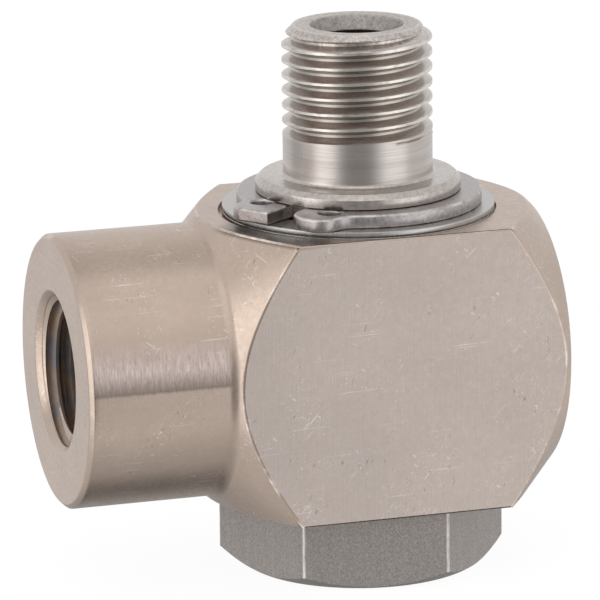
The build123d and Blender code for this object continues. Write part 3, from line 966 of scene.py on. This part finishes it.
class UNION_OT_spindle(bpy.types.Operator):
    """Spindle: grooved journal, land and shank, drilled for the fluid."""

    bl_idname = "union.spindle"
    bl_label = "Spindle"

    def grooves(self, sizes, journal):
        """Outline points of the seal and guide grooves from the bottom up."""
        points = []
        for level in ("lower", "upper"):
            spans = []
            for kind in GROOVE_NODES:
                low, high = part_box(f"{level}_{kind}")
                spans.append((low.z, high.z))
            backup, seal = spans[2], spans[1]
            joined = (min(backup[0], seal[0]), max(backup[1], seal[1]))
            floors = {
                spans[0]: sizes.guide_floor_d / 2,
                spans[3]: sizes.dust_floor_d / 2,
                joined: sizes.seal_floor_d / 2,
            }
            for (low, high), floor in sorted(floors.items()):
                below, above = low - GROOVE_GAP, high + GROOVE_GAP
                points += [(below, journal), (below, floor), (above, floor), (above, journal)]
        return points

    def execute(self, context):
        sizes = context.scene.union_spindle_sizes
        journal = sizes.land_d / 2 - sizes.journal_gap
        land = sizes.land_d / 2
        foot = SPINDLE_HIGH.z - sizes.thread_length
        land_top = SPINDLE_HIGH.z - sizes.shank_length
        land_low = land_top - sizes.land_thickness
        waist_low = MID_HEIGHT - sizes.waist_width / 2
        waist_high = MID_HEIGHT + sizes.waist_width / 2
        grooves = self.grooves(sizes, journal)
        half = len(grooves) // 2
        waist = [
            (waist_low, journal),
            (waist_low, sizes.waist_d / 2),
            (waist_high, sizes.waist_d / 2),
            (waist_high, journal),
        ]
        upper = eased(
            [
                (CLIP_LOW.z - CLEARANCE, sizes.clip_groove_d / 2),
                (land_low, sizes.clip_groove_d / 2),
                (land_low, land),
                (land_top - sizes.land_chamfer, land),
                (land_top, land - sizes.land_chamfer),
                (land_top, sizes.shank_d / 2 + 1.0 * MM),
            ],
            STEP_ROUND,
        )
        root = eased(
            [
                (land_top, sizes.shank_d / 2 + 0.9 * MM),
                (land_top, sizes.shank_d / 2),
                (land_top + 1.0 * MM, sizes.shank_d / 2),
            ],
            sizes.shank_fillet,
            6,
        )
        bore_end = MID_HEIGHT - sizes.cross_d / 2
        outline = [(HEX_TOP - 0.02 * MM, 0), (HEX_TOP - 0.02 * MM, journal)]
        outline += grooves[:half] + waist + grooves[half:]
        outline += [(CLIP_LOW.z - CLEARANCE, journal)] + upper + root
        outline += [(foot, sizes.shank_d / 2), (foot, sizes.bore_d / 2), (bore_end, sizes.bore_d / 2)]
        outline += [(bore_end - sizes.bore_d / 2 * DRILL_POINT, 0)]
        bm = bmesh.new()
        spun(bm, outline, "Z")
        piece = loose_object("spindle_shaft", bm)
        for axis in ("X", "Y"):
            place = Matrix.Translation((0, 0, MID_HEIGHT)) @ Matrix.Rotation(pi / 2, 4, axis)
            drill = cylinder(sizes.cross_d / 2, sizes.waist_d + 2 * OVERSHOOT, 48, place)
            carve(piece, loose_object("drill_tool", drill))
        clean = bmesh.new()
        clean.from_mesh(piece.data)
        bmesh.ops.dissolve_degenerate(clean, dist=2e-6, edges=clean.edges)
        clean.to_mesh(piece.data)
        clean.free()
        dress(piece, "spindle", [shared("turned_steel", turned_steel)])
        return {"FINISHED"}


class UNION_OT_hexagon(bpy.types.Operator):
    """Hexagon: the spindle's head, left as drawn bar with a turned chamfer."""

    bl_idname = "union.hexagon"
    bl_label = "Hexagon head"

    def execute(self, context):
        sizes = context.scene.union_spindle_sizes
        corner = sizes.hex_flats / sqrt(3)
        bm = cylinder(corner, HOUSING_LOW.z, 6, Matrix.Translation((0, 0, HOUSING_LOW.z / 2)))
        first = min(bm.verts, key=lambda vert: (-vert.co.x, vert.co.z, abs(vert.co.y)))
        start = atan2(first.co.y, first.co.x)
        bmesh.ops.rotate(
            bm, verts=bm.verts, matrix=Matrix.Rotation(sizes.hex_turn - start, 3, "Z"), cent=(0, 0, 0)
        )
        uprights = [edge for edge in bm.edges if abs(edge.verts[0].co.z - edge.verts[1].co.z) > MM]
        bmesh.ops.bevel(
            bm,
            geom=uprights,
            offset=sizes.hex_round,
            segments=4,
            profile=0.5,
            affect="EDGES",
            material=1,
        )
        piece = loose_object("hexagon_head", bm)
        reach = corner + OVERSHOOT
        rise = (reach - sizes.hex_face_d / 2) * tan(sizes.hex_chamfer)
        # the corners stand up round the thrust washer, just clear of the housing
        rim_top = HOUSING_LOW.z - CLEARANCE
        washer_low, washer_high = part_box("lower_thrust_washer")
        seat = (washer_high.x - washer_low.x) / 2 + CLEARANCE
        turned = bmesh.new()
        spun(
            turned,
            [(0, 0)]
            + eased([(0, 0), (0, sizes.hex_face_d / 2), (rise, reach)], EDGE_ROUND)[1:]
            + [(rim_top, reach), (rim_top, seat), (HEX_TOP, seat), (HEX_TOP, 0)],
            "Z",
        )
        carve(piece, loose_object("chamfer_tool", turned), "INTERSECT")
        finishes = [shared("drawn_steel", drawn_steel), shared("rubbed_steel", rubbed_steel)]
        dress(piece, "spindle", finishes, 24)
        return {"FINISHED"}


class UNION_OT_retaining_ring(bpy.types.Operator):
    """Retaining ring: stamped ring with two drilled lugs and softened edges."""

    bl_idname = "union.retaining_ring"
    bl_label = "Retaining ring"

    def arc(self, centre, radius, start, end, steps):
        """Points along an arc, its ends included."""
        return [
            (
                centre[0] + radius * cos(start + (end - start) * step / steps),
                centre[1] + radius * sin(start + (end - start) * step / steps),
            )
            for step in range(steps + 1)
        ]

    def half_outline(self, sizes, nosed):
        """One side of the ring, with a rounded or a square nose, where X runs through the gap."""
        inner = sizes.inner_d / 2
        outer = inner + sizes.radial - sizes.taper
        tip = inner + sizes.lug_width
        gap, far = sizes.half_gap, sizes.spread
        corner, neck = sizes.lug_round, sizes.neck_round
        hollow_y = far + neck
        hollow_x = sqrt((outer + neck) ** 2 - hollow_y**2) - sizes.taper
        leave = atan2(hollow_y, hollow_x + sizes.taper)
        points = [(sqrt(inner**2 - gap**2), gap)]
        if nosed:
            nose = sizes.nose_round
            points += self.arc((tip - nose, gap + nose), nose, -pi / 2, 0, 12)
        else:
            points += [(tip, gap)]
        points += self.arc((tip - corner, far - corner), corner, 0, pi / 2, 8)
        points += self.arc((hollow_x, hollow_y), neck, -pi / 2, leave - pi, 8)
        points += self.arc((-sizes.taper, 0), outer, leave, pi, 60)[1:-1]
        return points

    def execute(self, context):
        sizes = context.scene.union_ring_sizes
        inner = sizes.inner_d / 2
        side = self.half_outline(sizes, True)
        mirrored = [(x, -y) for x, y in reversed(self.half_outline(sizes, False))]
        back = [(-inner - sizes.radial, 0)]
        gap_turn = atan2(sizes.half_gap, sqrt(inner**2 - sizes.half_gap**2))
        inside = self.arc((0, 0), inner, 2 * pi - gap_turn, gap_turn, 120)[1:-1]
        loops = [side + back + mirrored + inside]
        along = sqrt(sizes.hole_radius**2 - sizes.hole_offset**2)
        for offset in (sizes.hole_offset, -sizes.hole_offset):
            loops.append(self.arc((along, offset), sizes.hole_d / 2, 0, 2 * pi, 32)[:-1])
        bm = bmesh.new()
        edges = []
        for loop in loops:
            verts = [bm.verts.new((x, y, CLIP_LOW.z)) for x, y in loop]
            edges += [bm.edges.new(pair) for pair in zip(verts, verts[1:] + verts[:1])]
        sheet = bmesh.ops.triangle_fill(bm, edges=edges, use_beauty=True, use_dissolve=False)
        faces = [part for part in sheet["geom"] if isinstance(part, bmesh.types.BMFace)]
        raised = bmesh.ops.extrude_face_region(bm, geom=faces)
        tops = [part for part in raised["geom"] if isinstance(part, bmesh.types.BMVert)]
        bmesh.ops.translate(bm, verts=tops, vec=(0, 0, CLIP_HIGH.z - CLIP_LOW.z))
        bmesh.ops.recalc_face_normals(bm, faces=bm.faces)
        rims = [
            edge
            for edge in bm.edges
            if len(edge.link_faces) == 2
            and edge.calc_face_angle() > 1.2
            and abs(edge.verts[0].co.z - edge.verts[1].co.z) < 1e-6
        ]
        bmesh.ops.bevel(
            bm, geom=rims, offset=sizes.edge, segments=3, profile=0.5, affect="EDGES", material=1
        )
        bmesh.ops.rotate(bm, verts=bm.verts, matrix=Matrix.Rotation(sizes.turn, 3, "Z"), cent=(0, 0, 0))
        piece = loose_object("circlip", bm)
        finishes = [shared("spring_steel", stamped_steel), shared("rubbed_steel", rubbed_steel)]
        dress(piece, "retaining_ring", finishes)
        return {"FINISHED"}


class UNION_OT_washers(bpy.types.Operator):
    """Washers: the upper thrust washer and the wear ring in the housing's recess."""

    bl_idname = "union.washers"
    bl_label = "Washers"

    def execute(self, context):
        for node in ("upper_thrust_washer", "wear_ring"):
            low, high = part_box(node)
            outer = (high.x - low.x) / 2
            inner = context.scene.union_housing_sizes.bore_d / 2 + 2 * CLEARANCE
            ring = eased(
                [
                    ((low.z + high.z) / 2, inner),
                    (low.z, inner),
                    (low.z, outer),
                    (high.z, outer),
                    (high.z, inner),
                    ((low.z + high.z) / 2, inner),
                ],
                0.1 * MM,
            )
            bm = bmesh.new()
            spun(bm, ring[:-1], "Z", closed=True)
            piece = loose_object(f"{node}_ring", bm)
            dress(piece, node, [shared("strip_steel", strip_steel)])
        return {"FINISHED"}


class UNION_OT_inner_parts(bpy.types.Operator):
    """Inner parts: finishes for the seals, guides and washer that stay as packed."""

    bl_idname = "union.inner_parts"
    bl_label = "Inner parts"

    def execute(self, context):
        tones = context.scene.union_finish
        finishes = {
            "guide_ring": moulded("bearing_plastic", tones.bearing, 0.5, 1500),
            "o_ring": moulded("nitrile_rubber", tones.seal, 0.42, 2400),
            "backup_ring": moulded("white_ptfe", tones.backup, 0.48, 1200),
            "dust_seal": moulded("wiper_rubber", tones.seal, 0.38, 2600),
            "lower_thrust_washer": shared("strip_steel", strip_steel),
        }
        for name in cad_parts:
            for kind, material in finishes.items():
                if name.endswith(kind):
                    mesh = bpy.data.objects[name].data
                    mesh.materials.clear()
                    mesh.materials.append(material)
        return {"FINISHED"}


class UNION_OT_stage(bpy.types.Operator):
    """Stage: camera, lamps, world and floor."""

    bl_idname = "union.stage"
    bl_label = "Stage"

    def camera(self, context, stage):
        """The camera, placed by azimuth, elevation and distance from its target."""
        turn, lift = stage.azimuth, stage.elevation
        back = Vector((sin(turn) * cos(lift), -cos(turn) * cos(lift), sin(lift)))
        up = Vector((-sin(turn) * sin(lift), cos(turn) * sin(lift), cos(lift)))
        right = Vector((cos(turn), sin(turn), 0))
        tilted_up = up * cos(stage.roll) + right * sin(stage.roll)
        tilted_right = right * cos(stage.roll) - up * sin(stage.roll)
        data = bpy.data.cameras.new("camera")
        data.lens = stage.lens
        data.sensor_width = 36
        data.clip_start, data.clip_end = 0.01, 10
        made = bpy.data.objects.new("camera", data)
        target = Vector((stage.target_x, stage.target_y, stage.target_z))
        turn_matrix = Matrix((tilted_right, tilted_up, back)).transposed().to_4x4()
        made.matrix_world = Matrix.Translation(target + back * stage.distance) @ turn_matrix
        context.scene.collection.objects.link(made)
        context.scene.camera = made

    def lamp(self, context, name, place, aim, size, power):
        """A square soft lamp that faces a point."""
        data = bpy.data.lights.new(name, "AREA")
        data.shape = "RECTANGLE"
        data.size, data.size_y = size
        data.energy = power
        data.specular_factor = 0
        made = bpy.data.objects.new(name, data)
        made.location = place
        made.rotation_euler = (Vector(aim) - Vector(place)).to_track_quat("-Z", "Y").to_euler()
        context.scene.collection.objects.link(made)

    def world(self, context):
        """A pale room with soft bright and dim patches, which the camera sees as plain white."""
        world = bpy.data.worlds.new("studio")
        world.use_nodes = True
        tree = world.node_tree
        tree.nodes.clear()
        output = tree.nodes.new("ShaderNodeOutputWorld")
        room = tree.nodes.new("ShaderNodeBackground")
        white = tree.nodes.new("ShaderNodeBackground")
        white.inputs["Color"].default_value = (1, 1, 1, 1)
        rays = tree.nodes.new("ShaderNodeLightPath")
        choose = tree.nodes.new("ShaderNodeMixShader")
        way = tree.nodes.new("ShaderNodeTexCoord").outputs["Generated"]
        total = None
        for turn, lift, half_width, gain in ROOM_PATCHES:
            turn, lift = radians(turn), radians(lift)
            dot = tree.nodes.new("ShaderNodeVectorMath")
            dot.operation = "DOT_PRODUCT"
            dot.inputs[1].default_value = (sin(turn) * cos(lift), -cos(turn) * cos(lift), sin(lift))
            tree.links.new(way, dot.inputs[0])
            patch = tree.nodes.new("ShaderNodeMapRange")
            patch.interpolation_type = "SMOOTHERSTEP"
            patch.inputs["From Min"].default_value = cos(radians(half_width))
            patch.inputs["From Max"].default_value = 1
            patch.inputs["To Max"].default_value = gain
            tree.links.new(dot.outputs["Value"], patch.inputs["Value"])
            add = tree.nodes.new("ShaderNodeMath")
            add.inputs[1].default_value = ROOM_LEVEL
            tree.links.new(patch.outputs[0], add.inputs[0])
            if total is not None:
                tree.links.new(total, add.inputs[1])
            total = add.outputs[0]
        held = tree.nodes.new("ShaderNodeMath")
        held.operation = "MAXIMUM"
        held.inputs[1].default_value = 0.05
        tree.links.new(total, held.inputs[0])
        tree.links.new(held.outputs[0], room.inputs["Strength"])
        tree.links.new(rays.outputs["Is Camera Ray"], choose.inputs["Fac"])
        tree.links.new(room.outputs[0], choose.inputs[1])
        tree.links.new(white.outputs[0], choose.inputs[2])
        tree.links.new(choose.outputs[0], output.inputs["Surface"])
        context.scene.world = world

    def floor(self, context, stage):
        """A pale floor that reads as white and keeps a faint shadow."""
        bm = bmesh.new()
        bmesh.ops.create_grid(bm, x_segments=1, y_segments=1, size=stage.floor_size / 2)
        made = loose_object("floor", bm)
        material = bpy.data.materials.new("studio_floor")
        material.use_nodes = True
        tree = material.node_tree
        tree.nodes.clear()
        output = tree.nodes.new("ShaderNodeOutputMaterial")
        matt = tree.nodes.new("ShaderNodeBsdfDiffuse")
        matt.inputs["Color"].default_value = (0.86, 0.86, 0.86, 1)
        glow = tree.nodes.new("ShaderNodeEmission")
        glow.inputs["Color"].default_value = (1, 1, 1, 1)
        glow.inputs["Strength"].default_value = 1.04
        clear = tree.nodes.new("ShaderNodeBsdfTransparent")
        mirrored = tree.nodes.new("ShaderNodeMixShader")
        rays = tree.nodes.new("ShaderNodeLightPath")
        share = tree.nodes.new("ShaderNodeMath")
        share.operation = "MULTIPLY"
        share.inputs[1].default_value = 0.9
        choose = tree.nodes.new("ShaderNodeMixShader")
        tree.links.new(rays.outputs["Is Camera Ray"], share.inputs[0])
        tree.links.new(share.outputs[0], choose.inputs["Fac"])
        tree.links.new(matt.outputs[0], choose.inputs[1])
        tree.links.new(glow.outputs[0], choose.inputs[2])
        tree.links.new(rays.outputs["Is Glossy Ray"], mirrored.inputs["Fac"])
        tree.links.new(choose.outputs[0], mirrored.inputs[1])
        tree.links.new(clear.outputs[0], mirrored.inputs[2])
        tree.links.new(mirrored.outputs[0], output.inputs["Surface"])
        made.data.materials.append(material)

    def execute(self, context):
        stage = context.scene.union_stage
        self.camera(context, stage)
        self.world(context)
        self.floor(context, stage)
        place, aim = (0.05, 0.10, 0.45), (0, 0, 0.024)
        self.lamp(context, "top_softbox", place, aim, size=(0.30, 0.30), power=0.08)
        context.scene.view_settings.view_transform = "Standard"
        return {"FINISHED"}


class UNION_PT_panel(bpy.types.Panel):
    """Sidebar panel that lists the pieces and their sizes."""

    bl_label = "Rotary Union"
    bl_idname = "UNION_PT_panel"
    bl_space_type = "VIEW_3D"
    bl_region_type = "UI"
    bl_category = "Rotary Union"

    def draw(self, context):
        layout = self.layout
        for operator in OPERATORS:
            layout.operator(operator.bl_idname)
        for name in PROPERTY_NAMES:
            box = layout.box()
            group = getattr(context.scene, name)
            for key in group.__annotations__:
                box.prop(group, key)


PROPERTY_NAMES = {
    "union_housing_sizes": UnionHousingSizes,
    "union_spindle_sizes": UnionSpindleSizes,
    "union_ring_sizes": UnionRingSizes,
    "union_finish": UnionFinish,
    "union_stage": UnionStage,
}
OPERATORS = (
    UNION_OT_housing,
    UNION_OT_port_thread,
    UNION_OT_stud,
    UNION_OT_spindle,
    UNION_OT_hexagon,
    UNION_OT_retaining_ring,
    UNION_OT_washers,
    UNION_OT_inner_parts,
    UNION_OT_stage,
)


def register():
    """Registers the classes and hangs the property groups on the scene."""
    for group in PROPERTY_NAMES.values():
        bpy.utils.register_class(group)
    for operator in OPERATORS:
        bpy.utils.register_class(operator)
    bpy.utils.register_class(UNION_PT_panel)
    for name, group in PROPERTY_NAMES.items():
        setattr(bpy.types.Scene, name, bpy.props.PointerProperty(type=group))


def unregister():
    """Takes the property groups and classes away again."""
    for name in PROPERTY_NAMES:
        delattr(bpy.types.Scene, name)
    bpy.utils.unregister_class(UNION_PT_panel)
    for operator in reversed(OPERATORS):
        bpy.utils.unregister_class(operator)
    for group in reversed(PROPERTY_NAMES.values()):
        bpy.utils.unregister_class(group)


def main():
    register()
    for operator in OPERATORS:
        family, call = operator.bl_idname.split(".")
        getattr(getattr(bpy.ops, family), call)()


if __name__ == "__main__":
    main()
